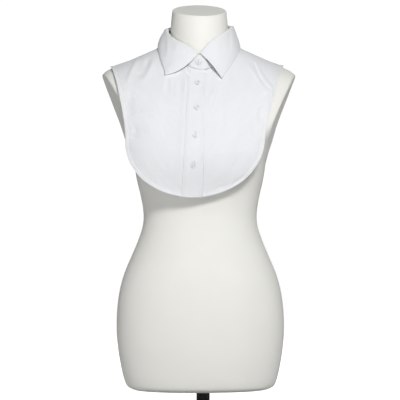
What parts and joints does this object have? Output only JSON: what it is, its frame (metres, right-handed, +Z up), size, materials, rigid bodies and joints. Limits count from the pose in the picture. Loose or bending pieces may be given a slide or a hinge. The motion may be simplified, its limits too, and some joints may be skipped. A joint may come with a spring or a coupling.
{
  "type": "detachable shirt collar on a dress form",
  "caption": "Detachable white cotton shirt collar with button placket and round bib front and back, worn by a limbless dress form on a short black stand.",
  "frame": {"origin": "middle of the round base's underside, on the floor", "axes": "+Z up, the wearer faces -Y, +X is the wearer's left and the picture's right"},
  "size_m": [0.3896, 0.32, 0.941],
  "materials": {
    "white_cotton": "plain poplin, matt",
    "white_button": "satin",
    "form_shell": "smooth, matt off-white",
    "black_metal": "black, satin"
  },
  "bodies": {
    "root": {"front_right": "white_cotton", "front_left": "white_cotton", "back": "white_cotton", "placket": "white_cotton", "collar_stand": "white_cotton", "collar": "white_cotton", "button_1": "white_button", "button_2": "white_button", "button_3": "white_button", "button_4": "white_button", "button_5": "white_button", "dress_form": "form_shell", "pole": "black_metal", "base": "black_metal"}
  },
  "joints": []
}
